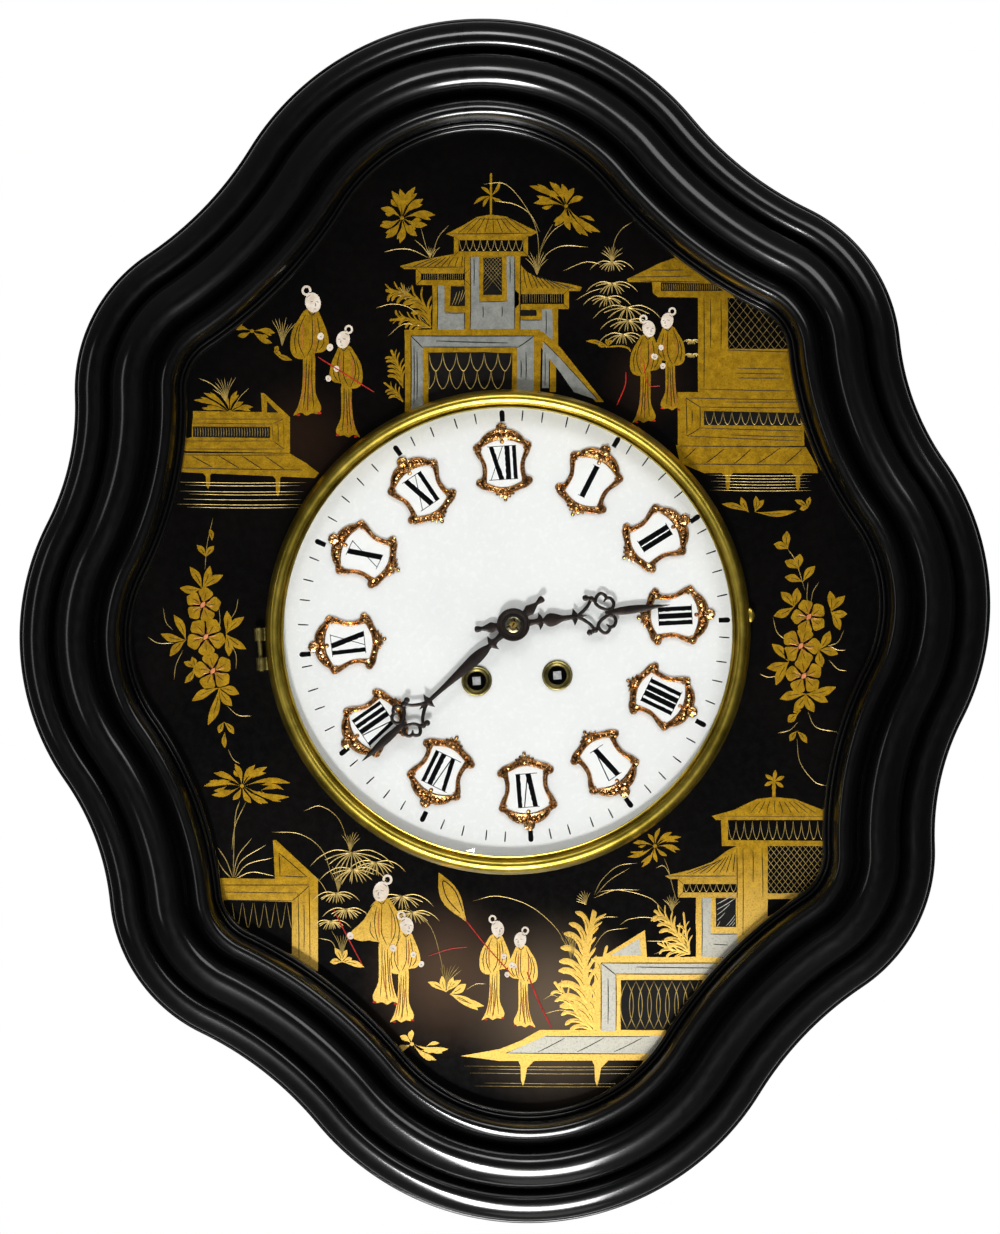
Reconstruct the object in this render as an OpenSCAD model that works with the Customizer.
// Wall clock in the tableau form: a scrolled wooden frame round a lacquered panel,
// a hinged glazed bezel over a cartouche dial, and a two-train striking movement
// in a wooden case behind. Front faces -Y, the wall is at y = 0, up is +Z, and the
// origin is where the hands' axis meets the wall. All lengths are millimetres.

/* [Frame outline] */
// Half of the frame's height
frame_half_h = 287.5; // [280:0.5:296]
// Half of the frame's width
frame_half_w = 231.7; // [226:0.1:238]
// Radius of the top and bottom lobes
top_lobe_r = 130.1; // [124:0.1:136]
// Radius of the two side lobes
side_lobe_r = 119.5; // [114:0.1:124]
// Radius of the four corner lobes
corner_lobe_r = 77.4; // [72:0.1:82]
// Corner lobe centre, sideways from the frame's centre
corner_x = 119.8; // [116:0.1:124]
// Corner lobe centre, up or down from the frame's centre
corner_z = 118.7; // [115:0.1:122]
// Radius of the hollow between a top and a corner lobe
top_hollow_r = 165.1; // [150:0.1:180]
// Radius of the hollow between a corner and a side lobe
side_hollow_r = 121.2; // [110:0.1:135]
// Frame centre sideways from the hands' axis
frame_x = -3.8; // [-6:0.1:2]
// Frame centre above the hands' axis
frame_z = 2.1; // [0:0.1:6]

/* [Frame moulding] */
// Width of the moulding, edge to sight line
moulding_w = 54; // [50:0.5:58]
// Height of the outer reed above the panel
outer_reed_h = 12; // [9:0.5:14]
// Height of the middle reed above the panel
middle_reed_h = 22; // [18:0.5:26]
// Height of the inner reed above the panel
inner_reed_h = 20; // [16:0.5:24]
// Height of the sight bead above the panel
sight_bead_h = 7; // [4:0.5:10]
// Depth that the panel reaches under the moulding
rebate_w = 8; // [5:0.5:12]
// Thickness of the lacquered panel
panel_t = 8; // [6:0.5:10]
// Gap round the panel in its rebate
panel_gap = 0.3; // [0.2:0.1:1]
// Radius of the movement's hole in the panel
panel_hole_r = 66; // [60:0.5:76]
// Width of a panel cleat
cleat_w = 10; // [8:0.5:14]
// Length of a panel cleat
cleat_l = 24; // [18:0.5:30]
// Thickness of a panel cleat
cleat_t = 1.6; // [1:0.1:2.5]

/* [Case] */
// Depth of the case from the wall to the back of the panel
box_depth = 92; // [88:0.5:104]
// Outside width of the case
box_w = 190; // [184:1:206]
// Top of the case above the hands' axis
box_top_z = 112; // [96:1:120]
// Bottom of the case above the frame's bottom edge
box_bottom_rise = 79.4; // [74:0.2:88]
// Thickness of the case boards
board_t = 9; // [7:0.5:11]
// Thickness of the back board
back_t = 8; // [6:0.5:10]
// Thickness of the seat board that carries the movement
seat_t = 8; // [6:0.5:10]
// Height of the side door's opening
door_open_h = 168; // [120:1:174]
// Width of the side door's opening
door_open_w = 48; // [36:1:50]
// Middle of the side door below the hands' axis
door_drop = 30; // [26:1:40]
// How far the door laps over its opening
door_lap = 5; // [3:0.5:6]
// Thickness of the side door
door_t = 5; // [4:0.5:7]
// Gap between the closed door and the case
door_gap = 0.3; // [0.2:0.1:0.6]
// Half of the turn button's length
button_l = 10; // [9:0.5:11]
// Radius of the hanging hole
hang_r = 4; // [3:0.1:5]
// Thickness of the hanging plate
hang_t = 2.5; // [2:0.1:3.5]
// Width of the hanging plate
hang_w = 32; // [28:1:36]
// Length of the hanging plate on the back board
hang_lap = 20; // [18:1:24]

/* [Bezel and dial] */
// Outer radius of the bezel
bezel_r = 115.5; // [113:0.5:118]
// Radius of the dial that shows inside the bezel
sight_r = 106.5; // [104:0.5:108]
// Bezel centre sideways from the hands' axis
bezel_x = -2.7; // [-3:0.1:0]
// Bezel centre below the hands' axis
bezel_drop = 3.3; // [0:0.1:4]
// Height of the bezel's crest above its base ring
bezel_h = 8.2; // [7:0.1:9]
// Thickness of the base ring's lip over the dial
base_ring_t = 2; // [1.5:0.1:2.5]
// Rise of the domed glass
glass_rise = 11.2; // [9:0.1:12]
// Thickness of the glass
glass_t = 1.6; // [1.2:0.1:2]
// Thickness of the dial plate
dial_t = 1.6; // [1.2:0.1:2]
// Centre of the ring of hours below the hands' axis
hours_drop = 1.4; // [0:0.1:4]
// Distance of the hour cartouches from their centre
cartouche_r = 78.2; // [74:0.1:80]
// Width of a cartouche frame
cartouche_w = 28; // [24:0.5:31]
// Height of a cartouche frame
cartouche_h = 38; // [34:0.5:41]
// Thickness of a cartouche frame
cartouche_t = 2.2; // [1.6:0.1:2.6]
// Width of a cartouche's rim round its plaque
cartouche_rim = 3.6; // [2.5:0.1:5]
// Dial feet sideways and down from the hands' axis
foot_x = 38; // [36:1:42]
// Radius of a dial foot
foot_r = 2; // [1.5:0.1:2.5]
// Outer radius of a winding eyelet
eyelet_r = 7.2; // [6:0.1:8]
// Hole radius of a winding eyelet
eyelet_hole_r = 4.4; // [3.5:0.1:4.9]

/* [Hands] */
// Length of the hour hand
hour_hand_l = 74.7; // [68:0.1:80]
// Length of the minute hand
minute_hand_l = 96.7; // [90:0.1:100]
// Angle of the hour hand, clockwise from twelve
hour_angle = 86.7; // [0:0.1:360]
// Angle of the minute hand, clockwise from twelve
minute_angle = 231.9; // [0:0.1:360]
// Thickness of a hand
hand_t = 0.8; // [0.6:0.1:1]
// Radius of a hand's boss
hand_boss_r = 7.8; // [6:0.1:9]

/* [Movement] */
// Half of the plates' width
plate_half_w = 47.5; // [46:0.5:50]
// Top of the plates above the hands' axis
plate_top = 62; // [60:0.5:66]
// Bottom of the plates below the hands' axis
plate_bottom = 50; // [48:0.5:54]
// Thickness of the plates
plate_t = 2.5; // [2:0.1:3]
// Space between the plates
plate_space = 32; // [32:0.1:34]
// Space between the front plate and the back of the panel
front_space = 7; // [6:0.5:8]
// Winding arbors sideways from the hands' axis
wind_x = 19; // [19:0.1:21]
// Winding arbors below the hands' axis
wind_drop = 25.2; // [24:0.1:27]
// Side of the winding square
wind_sq = 3.8; // [3.5:0.1:4.2]
// Radius of a barrel's drum
drum_r = 16; // [14:0.1:16.5]
// Radius of the count wheel
count_r = 21.5; // [20:0.5:22]
// Radius of a movement pillar
pillar_r = 4; // [3:0.1:4.5]
// Running clearance of a pivot in its hole, on the radius
pivot_gap = 0.1; // [0.05:0.01:0.1]
// Radius of a train pivot
pivot_r = 0.8; // [0.6:0.05:0.9]
// Radius of a train arbor
arbor_r = 1.1; // [1:0.05:1.15]

/* [Pendulum and gong] */
// Free space in the case under the pendulum rod's end
rod_floor_gap = 8.5; // [6:0.5:16]
// Threaded end of the pendulum rod below the bob
rod_thread_l = 14; // [12:0.5:16]
// Bending point above the hands' axis
pendulum_top = 51.5; // [51:0.1:52]
// Radius of the bob
bob_r = 25; // [20:0.5:27]
// Thickness of the bob
bob_t = 11; // [9:0.5:12]
// Radius of the pendulum rod
rod_r = 1.5; // [1.2:0.1:1.8]
// Outer radius of the gong's coil
gong_r = 44; // [38:0.5:46]
// Inner radius of the gong's coil
gong_in_r = 14; // [12:0.5:18]
// Radius of the gong's wire
gong_wire_r = 1.7; // [1.2:0.1:1.8]
// Gong centre below the hands' axis
gong_drop = 100; // [96:1:104]

/* [Hidden] */
$fn = 48;

// Depth planes, from the wall forward
panel_back = -box_depth;
panel_front = panel_back - panel_t;
dial_front = panel_front - dial_t;
ring_front = dial_front - base_ring_t;
bezel_back = ring_front - door_gap;
front_out = panel_back + front_space;
front_in = front_out + plate_t;
back_in = front_in + plate_space;
back_out = back_in + plate_t;
seat_top = -plate_bottom;

// Case edges
box_left = frame_x - box_w / 2;
box_right = frame_x + box_w / 2;
box_low = frame_z - frame_half_h + box_bottom_rise;
door_low = -door_drop - door_open_h / 2;
door_front = -22 - door_open_w;
door_back = -22;
hinge_x = box_right + 2.8;
hinge_y = door_back + door_lap + 3;
knuckle_r = 2.4;
hinge_pin_r = 1.1;
button_y = door_front - door_lap - 5;
button_z = -door_drop;
screw_r = 1.6;

// Circle meeting point: at distance rp from p and rq from q, on the chosen side
function meet(p, rp, q, rq, side) =
  let (d = norm(q - p), a = (rp * rp - rq * rq + d * d) / (2 * d))
  let (h = sqrt(rp * rp - a * a), u = (q - p) / d)
  p + a * u + side * h * [-u[1], u[0]];
function heading(p, q) = atan2(q[1] - p[1], q[0] - p[0]);
function arc(c, r, a, b, n) =
  [for (i = [0 : n - 1]) let (t = a + (b - a) * i / n) c + r * [cos(t), sin(t)]];

// Frame outline, w in from the outer edge: lobes shrink by w and hollows grow by w
top_c = [0, frame_half_h - top_lobe_r];
side_c = [frame_half_w - side_lobe_r, 0];
corner_c = [corner_x, corner_z];
hollow_a = meet(top_c, top_lobe_r + top_hollow_r, corner_c, corner_lobe_r + top_hollow_r, 1);
hollow_b = meet(corner_c, corner_lobe_r + side_hollow_r, side_c, side_lobe_r + side_hollow_r, 1);
function quarter(w) = concat(
  arc(top_c, top_lobe_r - w, 90, heading(top_c, hollow_a), 6),
  arc(hollow_a, top_hollow_r + w, heading(top_c, hollow_a) + 180,
    heading(corner_c, hollow_a) + 180, 6),
  arc(corner_c, corner_lobe_r - w, heading(corner_c, hollow_a),
    heading(corner_c, hollow_b), 9),
  arc(hollow_b, side_hollow_r + w, heading(corner_c, hollow_b) + 180,
    heading(side_c, hollow_b) + 180, 5),
  arc(side_c, side_lobe_r - w, heading(side_c, hollow_b), 0, 5),
  [[frame_half_w - w, 0]]);
function outline(w) = let (q = quarter(w), n = len(q) - 1) concat(
  q,
  [for (i = [n - 1 : -1 : 0]) [q[i][0], -q[i][1]]],
  [for (i = [1 : n]) [-q[i][0], -q[i][1]]],
  [for (i = [n - 1 : -1 : 1]) [-q[i][0], q[i][1]]]);

// Moulding section: [distance in from the edge, height above the panel]
function reed(a, b, low, high, n) =
  [for (i = [0 : n]) let (t = 180 * i / n)
    [(a + b) / 2 - (b - a) / 2 * cos(t), low + (high - low) * sin(t)]];
seat_w = moulding_w - rebate_w;
section = concat(
  [[0, -panel_t], [0, 1]],
  reed(1.5, moulding_w * 0.31, 3, outer_reed_h, 4),
  reed(moulding_w * 0.32, moulding_w * 0.68, 9, middle_reed_h, 6),
  reed(moulding_w * 0.7, moulding_w - 4, 8, inner_reed_h, 4),
  [[moulding_w, sight_bead_h], [moulding_w, 0], [seat_w, 0], [seat_w, -panel_t]]);

// Train centres in the plates, seen from the front
time_c = [wind_x, -wind_drop];
strike_c = [-wind_x, -wind_drop];
barrel_m = 0.6;
second_m = 0.5;
centre_m = 0.4;
third_m = 0.38;
pin_m = 0.45;
locking_m = 0.4;
second_gap = (60 + 10) * barrel_m / 2;
third_gap = (64 + 8) * second_m / 2;
intermediate_c = meet(time_c, second_gap, [0, 0], third_gap, -1);
count_c = [-intermediate_c[0], intermediate_c[1]];
escape_c = [0, pendulum_top - 18.5];
third_c = meet([0, 0], (80 + 8) * centre_m / 2, escape_c, (80 + 8) * third_m / 2, -1);
pin_c = count_c + third_gap * [cos(105), sin(105)];
locking_c = pin_c + (60 + 8) * pin_m / 2 * [cos(80), sin(80)];
fly_c = locking_c + (60 + 8) * locking_m / 2 * [cos(115), sin(115)];
hammer_c = [-40, -14];
pillar_cs = [for (x = [-1, 1], z = [6.5 - plate_bottom, plate_top - 6.5])
  [x * (plate_half_w - 6.5), z]];
motion_m = 0.6;
hour_m = 0.576;
minute_c = (12 + 36) * motion_m / 2 * [-cos(45), cos(45)];
train_cs = [intermediate_c, third_c, escape_c, count_c, pin_c, locking_c, fly_c, hammer_c];

// Slab between two depths from a drawing seen from the front
module slab(front, back) {
  translate([0, back, 0]) rotate([90, 0, 0]) linear_extrude(back - front) children();
}
module rod(c, r, front, back) {
  translate([c[0], back, c[1]]) rotate([90, 0, 0]) cylinder(r = r, h = back - front);
}
module turned(front) {
  translate([0, front, 0]) rotate([90, 0, 0]) rotate_extrude($fn = 180) children();
}
module board(x0, x1, y0, y1, z0, z1) {
  translate([x0, y0, z0]) cube([x1 - x0, y1 - y0, z1 - z0]);
}
module at_frame() { translate([frame_x, 0, frame_z]) children(); }
module at_bezel() { translate([bezel_x, 0, -bezel_drop]) children(); }
module at_hours() { translate([0, 0, -hours_drop]) children(); }

// Wheel and pinion teeth: straight flanks, the tooth at angle a points at its mate
function teeth(n, m, add, root, tip, a) = [
  for (k = [0 : n - 1], p = [[-1.1, -root], [add, -tip], [add, tip], [-1.1, root]])
    let (r = n * m / 2 + p[0] * m, t = a + (k + p[1]) * 360 / n) r * [cos(t), sin(t)]];
module wheel_2d(n, m, a) { polygon(teeth(n, m, 0.8, 0.3, 0.07, a)); }
module pinion_2d(n, m, a) { polygon(teeth(n, m, 0.6, 0.2, 0.08, a)); }
module at(c) { translate([c[0], 0, c[1]]) children(); }
// Toothed wheel with crossings and a rim of the given width inside its teeth
module crossed(n, m, a, front, back, arms, rim = 2) {
  r = n * m / 2;
  slab(front, back) difference() {
    wheel_2d(n, m, a);
    difference() {
      circle(r - 1.1 * m - rim);
      circle(3.4);
      for (k = [0 : arms - 1])
        rotate(k * 360 / arms) translate([0, -0.9]) square([r, 1.8]);
    }
  }
}
module arbor() {
  rod([0, 0], arbor_r, front_in + 0.3, back_in - 0.3);
  rod([0, 0], pivot_r, front_out, back_out);
}

// One of the frame's four lengths of moulding, clockwise from the top joint
module moulding_length(k) {
  rings = [for (p = section) outline(p[0])];
  n = len(rings[0]);
  run = n / 4;
  m = len(section);
  pts = [for (i = [0 : run], j = [0 : m - 1]) let (s = (k * run + i) % n)
    [rings[j][s][0], panel_front - section[j][1], rings[j][s][1]]];
  tris = [for (i = [0 : run - 1], j = [0 : m - 1])
    let (a = i * m + j, b = i * m + (j + 1) % m)
    let (c = (i + 1) * m + j, d = (i + 1) * m + (j + 1) % m)
    each [[a, b, d], [a, d, c]]];
  ends = [[for (j = [m - 1 : -1 : 0]) j], [for (j = [0 : m - 1]) run * m + j]];
  color("#1b1a19") at_frame() polyhedron(pts, concat(tris, ends));
}
module lacquer_panel() {
  color("#15120e") difference() {
    at_frame() slab(panel_front, panel_back) polygon(outline(seat_w + panel_gap));
    rod([0, 0], panel_hole_r, panel_front - 1, panel_back + 1, $fn = 96);
  }
}
cleat_is = [for (k = [0 : 7]) round(k * 15.5)];
module at_cleats() {
  o = outline(seat_w);
  for (i = cleat_is)
    at_frame() translate([o[i][0], 0, o[i][1]]) rotate([0, -atan2(o[i][1], o[i][0]), 0])
      children();
}
module panel_cleats() {
  color("#8d8574") at_cleats() difference() {
    board(-cleat_l / 2, cleat_l / 2, panel_back, panel_back + cleat_t,
      -cleat_w / 2, cleat_w / 2);
    rod([cleat_l / 4, 0], screw_r, panel_back - 1, 0);
  }
}
module back_board() {
  color("#5d3c22") difference() {
    board(box_left, box_right, -back_t, 0, box_low, box_top_z);
    board(frame_x - hang_w / 2 - 0.3, frame_x + hang_w / 2 + 0.3, -hang_t, 1,
      box_top_z - hang_lap - 0.3, box_top_z + 1);
    for (x = [-9, 9]) rod([frame_x + x, box_top_z - 12], screw_r, -back_t - 1, 1);
  }
}
module box_left_side() {
  color("#6b4628") board(box_left, box_left + board_t, panel_back, -back_t,
    box_low, box_top_z);
}
module box_right_side() {
  color("#6b4628") difference() {
    board(box_right - board_t, box_right, panel_back, -back_t, box_low, box_top_z);
    board(box_right - board_t - 1, box_right + 1, door_front, door_back,
      door_low, door_low + door_open_h);
    translate([box_right - board_t - 1, button_y, button_z]) rotate([0, 90, 0])
      cylinder(r = screw_r, h = board_t + 2);
  }
}
module box_top() {
  color("#6b4628") board(box_left + board_t, box_right - board_t, panel_back, -back_t,
    box_top_z - board_t, box_top_z);
}
module box_bottom() {
  color("#6b4628") board(box_left + board_t, box_right - board_t, panel_back, -back_t,
    box_low, box_low + board_t);
}
seat_screw_y = (front_in + back_in) / 2;
module seat_board() {
  color("#7a5330") difference() {
    board(box_left + board_t, box_right - board_t, panel_back + 4, back_out + 2,
      seat_top - seat_t, seat_top);
    for (x = [-1, 1]) translate([x * (plate_half_w - 6.5), seat_screw_y, seat_top - seat_t - 1])
      cylinder(r = 1.9, h = seat_t + 2);
  }
}
door_hinge_zs = [door_low + 24, door_low + door_open_h - 24];
module upright(x, y, r, z0, z1) { translate([x, y, z0]) cylinder(r = r, h = z1 - z0); }
module side_door() {
  color("#5d3c22") difference() {
    union() {
      board(box_right + door_gap, box_right + door_gap + door_t, door_front - door_lap,
        door_back + door_lap, door_low - door_lap, door_low + door_open_h + door_lap);
      for (z = door_hinge_zs) {
        board(hinge_x - 1, hinge_x + 1, door_back + door_lap - 1, hinge_y, z - 3, z + 3);
        upright(hinge_x, hinge_y, knuckle_r, z - 3, z + 3);
      }
    }
    for (z = door_hinge_zs)
      upright(hinge_x, hinge_y, hinge_pin_r + pivot_gap, z - 10, z + 10);
  }
}
module side_door_hinges() {
  color("#b08d45") for (z = door_hinge_zs) {
    for (s = [-9, 3.2]) {
      upright(hinge_x, hinge_y, knuckle_r, z + s, z + s + 5.8);
      board(box_right, hinge_x, hinge_y, -back_t - 1.5, z + s, z + s + 5.8);
    }
    upright(hinge_x, hinge_y, hinge_pin_r, z - 9, z + 9);
  }
}
button_x = box_right + door_gap + door_t + 0.4;
module door_turn_button() {
  color("#b08d45") difference() {
    union() {
      board(button_x, button_x + 2.5, button_y - 3.4, button_y + 3.4,
        button_z - button_l, button_z + button_l);
      translate([box_right + 0.2, button_y, button_z]) rotate([0, 90, 0])
        cylinder(r = 3.4, h = button_x - box_right);
    }
    translate([box_right - 1, button_y, button_z]) rotate([0, 90, 0])
      cylinder(r = screw_r + pivot_gap, h = 20);
  }
}
// Wood screws: the button's pivot, the hanging plate's two and one in each cleat
module case_screws() {
  color("#9a9488") {
    translate([box_right - board_t + 1, button_y, button_z]) rotate([0, 90, 0])
      cylinder(r = screw_r, h = button_x + 2.7 - box_right + board_t - 1);
    translate([button_x + 2.7, button_y, button_z]) rotate([0, 90, 0])
      cylinder(r = 3.2, h = 1.6);
    for (x = [-9, 9]) at([frame_x + x, box_top_z - 12]) {
      rod([0, 0], screw_r, -back_t, -1);
      rod([0, 0], 3.2, -1, 0);
    }
    at_cleats() {
      rod([cleat_l / 4, 0], screw_r, panel_front + 2, panel_back + cleat_t);
      rod([cleat_l / 4, 0], 3, panel_back + cleat_t, panel_back + cleat_t + 1.4);
    }
  }
}
hang_z = box_top_z + hang_w / 2;
module hanging_plate() {
  color("#b08d45") difference() {
    union() {
      board(frame_x - hang_w / 2, frame_x + hang_w / 2, -hang_t, 0,
        box_top_z - hang_lap, hang_z);
      rod([frame_x, hang_z], hang_w / 2, -hang_t, 0);
    }
    rod([frame_x, hang_z], hang_r, -hang_t - 1, 1);
    for (x = [-9, 9]) at([frame_x + x, box_top_z - 12]) {
      rod([0, 0], screw_r, -hang_t - 1, 1);
      rod([0, 0], 3.2, -1, 1);
    }
  }
}

// Bezel: base ring on the panel, hinge at nine o'clock, thumb tab at three
bezel_hinge_x = -bezel_r - 2.7;
bezel_hinge_y = ring_front - 1.5;
dial_r = bezel_r - 6.5;
module bezel_knuckle(z0, z1) {
  translate([bezel_hinge_x, bezel_hinge_y, z0]) cylinder(r = 2.2, h = z1 - z0);
}
module bezel_base_ring() {
  color("#a98a3c") at_bezel() difference() {
    union() {
      rod([0, 0], bezel_r - 0.7, ring_front, panel_front, $fn = 180);
      for (s = [-10, 4]) {
        board(bezel_hinge_x, -bezel_r + 3, ring_front, panel_front, s, s + 6);
        bezel_knuckle(s, s + 6);
      }
    }
    rod([0, 0], sight_r - 0.2, ring_front - 1, panel_front + 1, $fn = 180);
    rod([0, 0], dial_r + 0.2, dial_front, panel_front + 1, $fn = 180);
    upright(bezel_hinge_x, bezel_hinge_y, hinge_pin_r + 0.02, -11, 11);
  }
}
module bezel_hinge_pin() {
  color("#8f7638") at_bezel() upright(bezel_hinge_x, bezel_hinge_y, hinge_pin_r, -10.5, 10.5);
}
glass_edge_r = sight_r + 1.1;
glass_seat = bezel_h * 0.6;
bezel_section = concat(
  [[glass_edge_r + 0.4, 0], [bezel_r, 0], [bezel_r, 1.8], [bezel_r - 0.7, 2.7],
    [bezel_r - 1.6, 2.8]],
  [for (i = [1 : 9]) let (t = i * 18)
    [bezel_r - 5 + 3.3 * cos(t), 3 + (bezel_h - 3) * sin(t)]],
  [[sight_r + 0.6, glass_seat + 1.6], [sight_r, glass_seat + 1.2], [sight_r, glass_seat],
    [glass_edge_r + 0.4, glass_seat]]);
module bezel_ring() {
  color("#a98a3c") at_bezel() difference() {
    union() {
      turned(bezel_back) polygon(bezel_section);
      board(bezel_hinge_x, -bezel_r + 2, bezel_back - 2.5, bezel_back, -3.7, 3.7);
      bezel_knuckle(-3.7, 3.7);
      board(bezel_r - 1, bezel_r + 3, bezel_back - 2.4, bezel_back, -3, 3);
    }
    upright(bezel_hinge_x, bezel_hinge_y, hinge_pin_r + pivot_gap, -11, 11);
  }
}
// Domed glass, a spherical cap of even thickness
dome_r = (glass_edge_r * glass_edge_r + glass_rise * glass_rise) / (2 * glass_rise);
function dome(r) = sqrt(dome_r * dome_r - r * r) - (dome_r - glass_rise);
module bezel_glass() {
  color("#dfe8e8", 0.3) at_bezel() turned(bezel_back - glass_seat + 0.3 + glass_t)
    polygon(concat(
      [for (i = [0 : 10]) let (r = glass_edge_r * i / 10) [r, dome(r)]],
      [for (i = [10 : -1 : 0]) let (r = glass_edge_r * i / 10) [r, dome(r) + glass_t]]));
}
module glass_retainer() {
  color("#8f7638") at_bezel() turned(bezel_back - 1.6)
    polygon([[sight_r, 0], [glass_edge_r + 0.3, 0],
      [glass_edge_r + 0.3, glass_seat - glass_t - 2.1], [sight_r, glass_seat - glass_t - 2.1]]);
}

module dial_plate() {
  color("#f1efe8") difference() {
    at_bezel() rod([0, 0], dial_r, dial_front, panel_front, $fn = 180);
    rod([0, 0], 4.2, dial_front - 1, panel_front + 1);
    for (c = [time_c, strike_c]) rod(c, eyelet_hole_r + 0.6, dial_front - 1, panel_front + 1);
  }
}
// Cartouche outline: a tall shield, domed outward, waisted at the sides
function shield(w, h, n) = [for (i = [0 : n - 1]) let (t = 360 * i / n)
  [w / 2 * cos(t) * (0.86 + 0.14 * pow(sin(2 * t), 2)),
    h / 2 * sin(t) * (0.86 + 0.14 * pow(sin(t), 8)) + 0.04 * h * pow(cos(t), 2)]];
module at_hours_each() {
  for (k = [0 : 11])
    at_hours() rotate([0, k * 30, 0]) translate([0, 0, cartouche_r]) children();
}
module cartouche_frames() {
  color("#a9743a") at_hours_each() slab(dial_front - cartouche_t, dial_front)
    difference() {
      polygon(shield(cartouche_w, cartouche_h, 36));
      polygon(shield(cartouche_w - 2 * cartouche_rim, cartouche_h - 3.4 * cartouche_rim, 28));
    }
}
module cartouche_plaques() {
  color("#f6f4ee") at_hours_each() slab(dial_front - cartouche_t + 0.7, dial_front)
    polygon(shield(cartouche_w - 2 * cartouche_rim - 0.2,
      cartouche_h - 3.4 * cartouche_rim - 0.2, 28));
}
module winding_eyelets() {
  color("#b8963f") for (c = [time_c, strike_c]) at(c) difference() {
    union() {
      rod([0, 0], eyelet_r, dial_front - 1.2, dial_front);
      rod([0, 0], eyelet_hole_r + 0.5, dial_front, panel_front + 0.2);
    }
    rod([0, 0], eyelet_hole_r, dial_front - 2, panel_front + 1);
  }
}
module dial_feet() {
  color("#b08d45") for (x = [-1, 1], z = [-foot_x, foot_x + 2])
    rod([x * foot_x, z], foot_r, panel_front, front_out);
}

// Hand outline, boss at the origin and tip up
function leaf(a, b, w, n) = concat(
  [for (i = [0 : n]) [w * pow(sin(180 * i / n), 0.8), a + (b - a) * i / n]],
  [for (i = [n - 1 : -1 : 1]) [-w * pow(sin(180 * i / n), 0.8), a + (b - a) * i / n]]);
module hand_2d(l, bore) {
  difference() {
    union() {
      circle(hand_boss_r);
      translate([-1.1, 0]) square([2.2, l * 0.6]);
      translate([-0.8, -21]) square([1.6, 21]);
      translate([0, -21]) circle(2);
      polygon(leaf(hand_boss_r + 2, l * 0.42, 3.4, 10));
      polygon(leaf(l * 0.4, l * 0.47, 5, 6));
      polygon(leaf(l * 0.46, l * 0.86, 8.4, 14));
      polygon([[-2.6, l * 0.76], [2.6, l * 0.76], [0, l]]);
    }
    polygon(leaf(l * 0.53, l * 0.7, 2, 10));
    for (s = [-1, 1]) translate([s * 4.6, l * 0.64]) circle(1.5);
    circle(bore);
  }
}
hour_y = dial_front - cartouche_t - 1.4;
minute_y = hour_y - hand_t - 1.4;
module hour_hand() {
  color("#221c18") rotate([0, hour_angle, 0]) slab(hour_y - hand_t, hour_y)
    hand_2d(hour_hand_l, 3.3);
}
module minute_hand() {
  color("#221c18") rotate([0, minute_angle, 0]) slab(minute_y - hand_t, minute_y)
    hand_2d(minute_hand_l, 2.3);
}
module hand_collet() {
  color("#b8963f") difference() {
    rod([0, 0], 3.9, minute_y - hand_t - 1.3, minute_y - hand_t);
    rod([0, 0], 1.5, minute_y - hand_t - 2, minute_y);
  }
}

module plate_2d() {
  translate([-plate_half_w, -plate_bottom])
    square([2 * plate_half_w, plate_top + plate_bottom]);
}
click_cs = [for (s = [-1, 1]) [s * (wind_x + 7.5), -wind_drop + 13]];
anchor_c = [0, pendulum_top];
module front_plate() {
  color("#c19a45") {
    difference() {
      slab(front_out, front_in) plate_2d();
      for (c = concat(train_cs, [anchor_c]))
        rod(c, pivot_r + pivot_gap, front_out - 1, front_in + 1);
      rod([0, 0], 1.5 + pivot_gap, front_out - 1, front_in + 1);
      for (c = [time_c, strike_c]) rod(c, 3 + pivot_gap, front_out - 1, front_in + 1);
    }
    rod(minute_c, 1.3, front_out - 6.6, front_out);
    for (c = click_cs) rod(c, 1.3, front_out - 3.6, front_out);
  }
}
module back_plate() {
  color("#c19a45") difference() {
    slab(back_in, back_out) plate_2d();
    for (c = concat(train_cs, [anchor_c, [0, 0]]))
      rod(c, (c == hammer_c || c == count_c || c == anchor_c ? arbor_r : pivot_r) + pivot_gap,
        back_in - 1, back_out + 1);
    for (c = [time_c, strike_c]) rod(c, 2 + pivot_gap, back_in - 1, back_out + 1);
  }
}
module plate_pillars() {
  color("#b08d45") difference() {
    for (c = pillar_cs) rod(c, pillar_r, front_in, back_in);
    for (x = [-1, 1])
      translate([x * (plate_half_w - 6.5), seat_screw_y, seat_top]) cylinder(r = 1.8, h = 6.5);
  }
}
// Pillar nuts behind the back plate and the two bolts up through the seat board
module movement_fasteners() {
  color("#8b857a") {
    for (c = pillar_cs) at(c) slab(back_out, back_out + 2.4) circle(3.6, $fn = 6);
    for (x = [-1, 1]) translate([x * (plate_half_w - 6.5), seat_screw_y, 0]) {
      translate([0, 0, seat_top - seat_t]) cylinder(r = 1.8, h = seat_t + 5.5);
      translate([0, 0, seat_top - seat_t - 2.6]) cylinder(r = 3.8, h = 2.6, $fn = 6);
    }
  }
}

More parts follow.
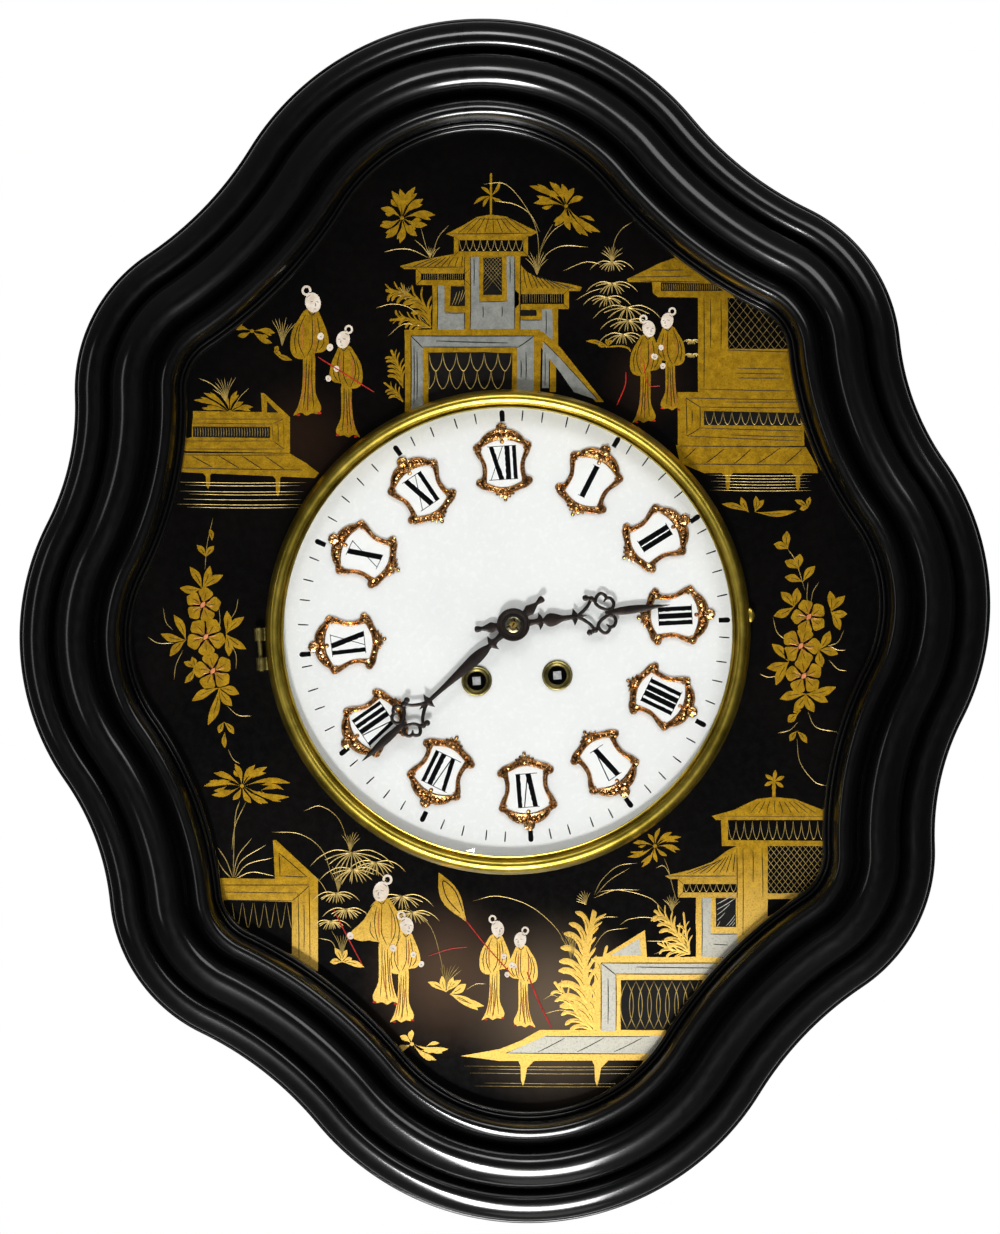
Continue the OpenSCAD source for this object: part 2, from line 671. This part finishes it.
// Barrels: toothed rim at the front of a closed drum
great_y = front_in + 9.5;
module barrel(a) {
  difference() {
    union() {
      slab(great_y, great_y + 2) wheel_2d(60, barrel_m, a);
      rod([0, 0], drum_r, great_y + 2, back_in - 2.5);
    }
    rod([0, 0], drum_r - 1, great_y + 1.2, back_in - 3.7);
    rod([0, 0], 3 + pivot_gap, great_y - 1, back_in);
  }
}
module mainspring() {
  difference() {
    rod([0, 0], drum_r - 1.3, great_y + 1.6, back_in - 4.1);
    rod([0, 0], 3.5, great_y, back_in);
  }
}
ratchet = [for (k = [0 : 23], p = [[9, 0], [7.6, 0.12]])
  p[0] * [cos((k + p[1]) * 15), sin((k + p[1]) * 15)]];
module winding_arbor(flip) {
  rod([0, 0], 3, front_out - 1.4, back_in - 0.6);
  rod([0, 0], 2, back_in - 0.6, back_out);
  slab(front_out - 3, front_out - 1.4) mirror([flip, 0]) polygon(ratchet);
  board(-wind_sq / 2, wind_sq / 2, panel_front + 1, front_out - 3, -wind_sq / 2, wind_sq / 2);
}
// Click lifted just clear of its ratchet's tips; side is 1 right and -1 left
module click(side) {
  difference() {
    slab(front_out - 3, front_out - 1.4) mirror([side > 0 ? 0 : 1, 0]) {
      circle(2.8);
      polygon([[1.8, -1], [-1.6, -1], [1, -10], [2.6, -9.8]]);
    }
    rod([0, 0], 1.3 + pivot_gap, front_out - 4, front_out);
  }
}
time_head = heading(time_c, intermediate_c);
strike_head = heading(strike_c, count_c);
module time_barrel() { color("#c9a24c") at(time_c) barrel(time_head); }
module strike_barrel() { color("#c9a24c") at(strike_c) barrel(strike_head); }
module time_mainspring() { color("#4c5560") at(time_c) mainspring(); }
module strike_mainspring() { color("#4c5560") at(strike_c) mainspring(); }
module time_barrel_arbor() { color("#8e9297") at(time_c) winding_arbor(0); }
module strike_barrel_arbor() { color("#8e9297") at(strike_c) winding_arbor(1); }
module time_click() { color("#7d8186") at(click_cs[1]) click(1); }
module strike_click() { color("#7d8186") at(click_cs[0]) click(-1); }

// Second arbors: a pinion at the great wheel and a wheel in front of it
second_y = front_in + 5;
count_y = great_y - 2;
module second_arbor(from, to, wheel_y) {
  arbor();
  slab(great_y - 1, great_y + 2.6) pinion_2d(10, barrel_m, from + 180 + 18);
  crossed(64, second_m, to, wheel_y, wheel_y + 1.5, 4);
}
module intermediate_wheel() {
  color("#c9a24c") at(intermediate_c)
    second_arbor(time_head, heading(intermediate_c, [0, 0]), second_y);
}
module count_arbor_wheel() {
  color("#c9a24c") at(count_c) {
    second_arbor(strike_head, heading(count_c, pin_c), count_y);
    rod([0, 0], arbor_r, back_in - 0.3, back_out + 4);
  }
}
// Count wheel behind the back plate: 78 blows told by twelve notches
function notch_at(k) = 360 * (k * (k + 1) / 2 + k) / 90;
module count_wheel() {
  color("#c9a24c") at(count_c) difference() {
    rod([0, 0], count_r, back_out + 1.5, back_out + 2.7, $fn = 90);
    rod([0, 0], arbor_r, back_out, back_out + 5);
    for (k = [0 : 11]) rotate([0, notch_at(k), 0])
      board(count_r - 1.5, count_r + 1.5, back_out + 1, back_out + 3, -0.8, 0.8);
    for (k = [0 : 3]) rotate([0, 45 + k * 90, 0]) rod([12, 0], 5, back_out + 1, back_out + 3);
  }
}
centre_y = front_in + 2;
module centre_wheel() {
  color("#c9a24c") {
    rod([0, 0], 1.5, minute_y - hand_t - 2.6, front_in + 1);
    rod([0, 0], arbor_r, front_in + 1, back_in - 0.3);
    rod([0, 0], pivot_r, back_in - 1, back_out);
    slab(second_y - 0.8, second_y + 2.2)
      pinion_2d(8, second_m, heading(intermediate_c, [0, 0]) + 180 + 22.5);
    crossed(80, centre_m, heading([0, 0], third_c), centre_y, centre_y + 1.5, 4);
  }
}
third_y = front_in + 16.5;
module third_wheel() {
  color("#c9a24c") at(third_c) {
    arbor();
    slab(centre_y - 0.8, centre_y + 2.1)
      pinion_2d(8, centre_m, heading([0, 0], third_c) + 180 + 22.5);
    crossed(80, third_m, heading(third_c, escape_c), third_y, third_y + 1.5, 4);
  }
}
escape_y = front_in + 26.5;
escape_r = 13;
escape_teeth = [for (k = [0 : 39], p = [[escape_r, 0], [escape_r, 0.12], [escape_r - 2.4, 0.45],
  [escape_r - 2.4, 0.9]]) p[0] * [cos((k + p[1]) * 9), sin((k + p[1]) * 9)]];
module escape_wheel() {
  color("#c9a24c") at(escape_c) {
    arbor();
    slab(third_y - 1, third_y + 2.5)
      pinion_2d(8, third_m, heading(third_c, escape_c) + 180 + 22.5);
    slab(escape_y, escape_y + 1.2) difference() {
      polygon(escape_teeth);
      difference() {
        circle(8.6);
        circle(3.4);
        for (k = [0 : 3]) rotate(k * 90) translate([0, -0.9]) square([9, 1.8]);
      }
    }
  }
}
// Anchor over the escape wheel and the crutch that holds the pendulum rod
pallet_gap = 1.3;
module anchor() {
  rise = pendulum_top - escape_c[1];
  reach = escape_r + pallet_gap;
  color("#7d8186") at(anchor_c) {
    rod([0, 0], pivot_r, front_out, front_in + 1);
    rod([0, 0], arbor_r, front_in + 0.3, back_out + 3);
    slab(escape_y - 1.2, escape_y + 2.4) {
      circle(3.2);
      difference() {
        translate([0, -rise]) difference() {
          circle(reach + 2.6);
          circle(reach);
        }
        translate([-30, -rise - 30]) square([60, 30 + reach * 0.62]);
      }
      translate([-1.2, reach - rise]) square([2.4, rise - reach]);
    }
    rod([0, 0], 2.2, back_out + 1.4, back_out + 2.8);
    slab(back_out + 1.4, back_out + 2.8) translate([-1, -34]) square([2, 34]);
    for (s = [-1, 1])
      board(s * 2.8 - 0.8, s * 2.8 + 0.8, back_out + 1.4, rod_y + 3, -34, -30);
    board(-3, 3, back_out + 1.4, back_out + 2.8, -34, -30);
  }
}
rod_y = back_out + 8;
cock_z = pendulum_top + 3.5;
module suspension_cock() {
  color("#b08d45") difference() {
    board(-8, 8, back_out, rod_y + 5, cock_z, cock_z + 3);
    board(-0.9, 0.9, rod_y - 3.2, rod_y + 3.2, cock_z - 1, cock_z + 4);
  }
}
chop_z = pendulum_top - 13;
module suspension_spring() {
  color("#8e9297") {
    board(-0.15, 0.15, rod_y - 2.4, rod_y + 2.4, chop_z + 2, cock_z + 4);
    translate([-3.4, rod_y, cock_z + 4.2]) rotate([0, 90, 0]) cylinder(r = 0.9, h = 6.8);
    board(-2, 2, rod_y - 2.6, rod_y + 2.6, chop_z, chop_z + 4);
  }
}
rod_end = box_low + board_t + rod_floor_gap;
bob_z = rod_end + rod_thread_l + bob_r;
module pendulum_rod() {
  color("#8e9297") upright(0, rod_y, rod_r, rod_end, chop_z);
}
// Lens bob: two spherical faces, a rim band and a bore for the rod
bob_face_r = (bob_r * bob_r + pow(bob_t / 2 - 1, 2)) / (bob_t - 2);
function lens(r) = sqrt(bob_face_r * bob_face_r - r * r) - bob_face_r + bob_t / 2;
module pendulum_bob() {
  color("#c19a45") difference() {
    translate([0, rod_y, bob_z]) rotate([90, 0, 0]) rotate_extrude($fn = 96) polygon(concat(
      [for (i = [0 : 8]) let (r = bob_r * i / 8) [r, lens(r)]],
      [for (i = [8 : -1 : 0]) let (r = bob_r * i / 8) [r, -lens(r)]]));
    upright(0, rod_y, rod_r + pivot_gap, bob_z - bob_r - 1, bob_z + bob_r + 1);
  }
}
module rating_nut() {
  color("#b08d45") difference() {
    union() {
      upright(0, rod_y, 5.5, bob_z - bob_r - 5.2, bob_z - bob_r - 2.2);
      upright(0, rod_y, 3, bob_z - bob_r - 2.2, bob_z - bob_r - 0.3);
    }
    upright(0, rod_y, rod_r + pivot_gap, rod_end - 1, bob_z);
  }
}

// Motion work between the front plate and the dial
motion_y = front_out - 3;
module cannon_pinion() {
  color("#b8963f") difference() {
    union() {
      slab(motion_y, motion_y + 2) pinion_2d(12, motion_m, heading(minute_c, [0, 0]) + 180 + 15);
      rod([0, 0], 2.3, minute_y - hand_t, motion_y);
    }
    rod([0, 0], 1.5, minute_y - 5, front_out);
  }
}
hour_wheel_y = motion_y - 2.8;
module minute_wheel() {
  color("#c9a24c") at(minute_c) difference() {
    union() {
      slab(motion_y + 0.4, motion_y + 1.6) wheel_2d(36, motion_m, heading(minute_c, [0, 0]));
      slab(hour_wheel_y - 0.4, motion_y + 0.4)
        pinion_2d(10, hour_m, heading([0, 0], minute_c) + 180 + 18);
    }
    rod([0, 0], 1.3 + pivot_gap, motion_y - 6, front_out);
  }
}
module hour_wheel() {
  color("#c9a24c") difference() {
    union() {
      slab(hour_wheel_y, hour_wheel_y + 1.3) wheel_2d(40, hour_m, heading([0, 0], minute_c));
      rod([0, 0], 3.3, hour_y - hand_t, hour_wheel_y);
    }
    rod([0, 0], 2.3 + pivot_gap, hour_y - 3, motion_y);
  }
}

// Strike train above the count arbor
pin_y = front_in + 12.5;
module pin_wheel() {
  color("#c9a24c") at(pin_c) {
    arbor();
    slab(count_y - 0.8, count_y + 2.3)
      pinion_2d(8, second_m, heading(count_c, pin_c) + 180 + 22.5);
    crossed(60, pin_m, heading(pin_c, locking_c), pin_y, pin_y + 1.5, 4, 3.4);
    for (k = [0 : 9]) rotate([0, k * 36, 0]) rod([10.6, 0], 0.7, pin_y - 3, pin_y + 0.5);
  }
}
locking_y = front_in + 20.5;
module locking_wheel() {
  color("#c9a24c") at(locking_c) {
    arbor();
    slab(pin_y - 0.8, pin_y + 2.3)
      pinion_2d(8, pin_m, heading(pin_c, locking_c) + 180 + 22.5);
    crossed(60, locking_m, heading(locking_c, fly_c), locking_y, locking_y + 1.2, 4);
    rod([7.5, 0], 0.6, locking_y - 3, locking_y);
  }
}
module fly() {
  color("#c9a24c") at(fly_c) {
    arbor();
    slab(locking_y - 1, locking_y + 2.2)
      pinion_2d(8, locking_m, heading(locking_c, fly_c) + 180 + 22.5);
    board(-9.5, 9.5, front_in + 3, locking_y - 4, -0.4, 0.4);
    rod([0, 0], 2.2, front_in + 3, locking_y - 4);
  }
}
// Hammer: its tail stands beside the pin wheel, its head beside the gong
hammer_y = -21;
head_c = [-gong_r - gong_wire_r - 6.6, 8 - gong_drop];
module hammer() {
  tail = heading(hammer_c, pin_c);
  color("#7d8186") at(hammer_c) {
    rod([0, 0], pivot_r, front_out, front_in + 1);
    rod([0, 0], arbor_r, front_in + 0.3, hammer_y + 3);
    slab(pin_y - 2.6, pin_y - 0.8) rotate(tail) translate([0, -1.2])
      square([norm(pin_c - hammer_c) - 12.6, 2.4]);
    rod([0, 0], 2.6, pin_y - 2.6, pin_y - 0.8);
    slab(hammer_y, hammer_y + 3) rotate(heading(hammer_c, head_c)) translate([0, -1.3])
      square([norm(head_c - hammer_c), 2.6]);
    rod([0, 0], 3, hammer_y, hammer_y + 3);
    translate([head_c[0] - hammer_c[0] - 7, hammer_y + 1.5, head_c[1] - hammer_c[1]])
      rotate([0, 90, 0]) cylinder(r = 4.5, h = 12);
  }
}
// Gong: one wire wound as a flat spiral, its inner end held in the stand
gong_turns = 4;
gong_y = -19.5;
gong_pitch = (gong_r - gong_in_r) / gong_turns;
function gong_at(a) = (gong_in_r + gong_pitch * a / 360) * [cos(a - 90), sin(a - 90)];
gong_path = concat([[-3.4, -gong_in_r]], [for (i = [0 : 24 * gong_turns]) gong_at(i * 15)]);
echo(least_gap_between_turns = gong_pitch - 2 * gong_wire_r);
module gong_coil() {
  n = len(gong_path);
  function way(i) = let (d = gong_path[min(i + 1, n - 1)] - gong_path[max(i - 1, 0)])
    i == 0 ? [1, 0] : d / norm(d);
  pts = [for (i = [0 : n - 1], k = [0 : 5])
    let (t = way(i), p = gong_path[i], c = gong_wire_r * cos(k * 60), s = gong_wire_r * sin(k * 60))
    [p[0] - t[1] * c, gong_y + s, p[1] + t[0] * c - gong_drop]];
  tris = [for (i = [0 : n - 2], k = [0 : 5])
    let (a = i * 6 + k, b = i * 6 + (k + 1) % 6)
    each [[a, a + 6, b + 6], [a, b + 6, b]]];
  last = (n - 1) * 6;
  ends = concat([for (k = [1 : 4]) [0, k, k + 1]],
    [for (k = [1 : 4]) [last, last + k + 1, last + k]]);
  color("#5b626b") polyhedron(pts, concat(tris, ends));
}
module gong_stand() {
  color("#4a4a4a") {
    board(-8.6, -3.4, gong_y - 4, -back_t - 2, -gong_drop - gong_in_r - 2.2,
      -gong_drop - gong_in_r + 5);
    rod([-7.7, -gong_drop - gong_in_r], 9, -back_t - 2, -back_t);
  }
}

moulding_length(0);  // frame_top_right
moulding_length(1);  // frame_bottom_right
moulding_length(2);  // frame_bottom_left
moulding_length(3);  // frame_top_left
lacquer_panel();
panel_cleats();
back_board();
box_left_side();
box_right_side();
box_top();
box_bottom();
seat_board();
side_door();
side_door_hinges();
door_turn_button();
case_screws();
hanging_plate();
bezel_base_ring();
bezel_hinge_pin();
bezel_ring();
bezel_glass();
glass_retainer();
dial_plate();
cartouche_frames();
cartouche_plaques();
winding_eyelets();
dial_feet();
hour_hand();
minute_hand();
hand_collet();
front_plate();
back_plate();
plate_pillars();
movement_fasteners();
time_barrel();
time_mainspring();
time_barrel_arbor();
time_click();
intermediate_wheel();
centre_wheel();
third_wheel();
escape_wheel();
anchor();
suspension_cock();
suspension_spring();
pendulum_rod();
pendulum_bob();
rating_nut();
cannon_pinion();
minute_wheel();
hour_wheel();
strike_barrel();
strike_mainspring();
strike_barrel_arbor();
strike_click();
count_arbor_wheel();
count_wheel();
pin_wheel();
locking_wheel();
fly();
hammer();
gong_coil();
gong_stand();
